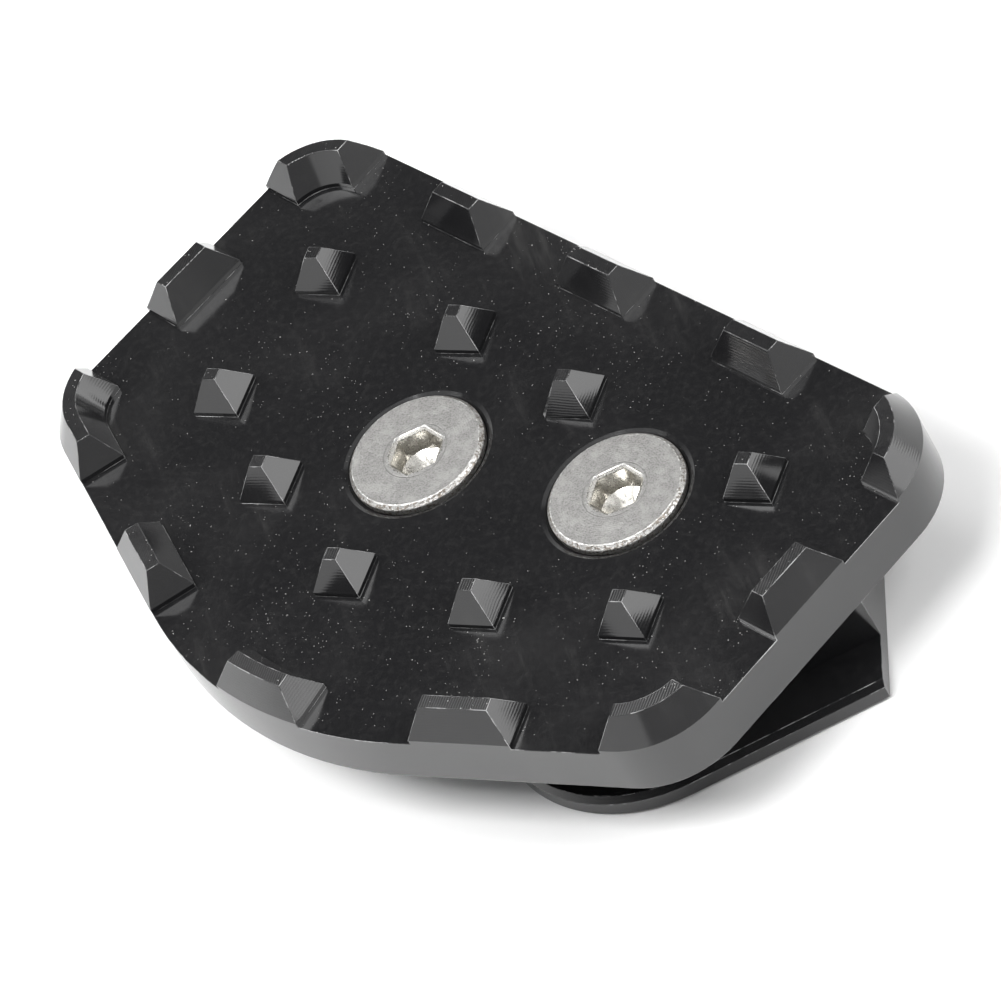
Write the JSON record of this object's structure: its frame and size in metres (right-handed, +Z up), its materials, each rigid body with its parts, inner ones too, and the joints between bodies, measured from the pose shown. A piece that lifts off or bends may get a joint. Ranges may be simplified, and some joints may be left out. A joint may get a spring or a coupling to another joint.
{
  "type": "brake pedal extension",
  "caption": "Black toothed tread plate screwed to a stepped clamp block, which grips a motorbike's brake pedal step from below to make it wider.",
  "frame": {"origin": "on the clamp block's flat underside, midway between the two screws", "axes": "+Z up through the plate to its teeth, +X along the plate's straight front edge, +Y towards its back edge"},
  "size_m": [0.0809, 0.0604, 0.0169],
  "materials": {
    "black_anodised": "black anodised, semi-gloss, with fine dust and light scuffs",
    "stainless_screw": "satin stainless, slightly speckled, with a bright turned edge"
  },
  "bodies": {
    "root": {"tread_plate": "black_anodised", "clamp_block": "black_anodised", "screw_left": "stainless_screw", "screw_right": "stainless_screw"}
  },
  "joints": []
}
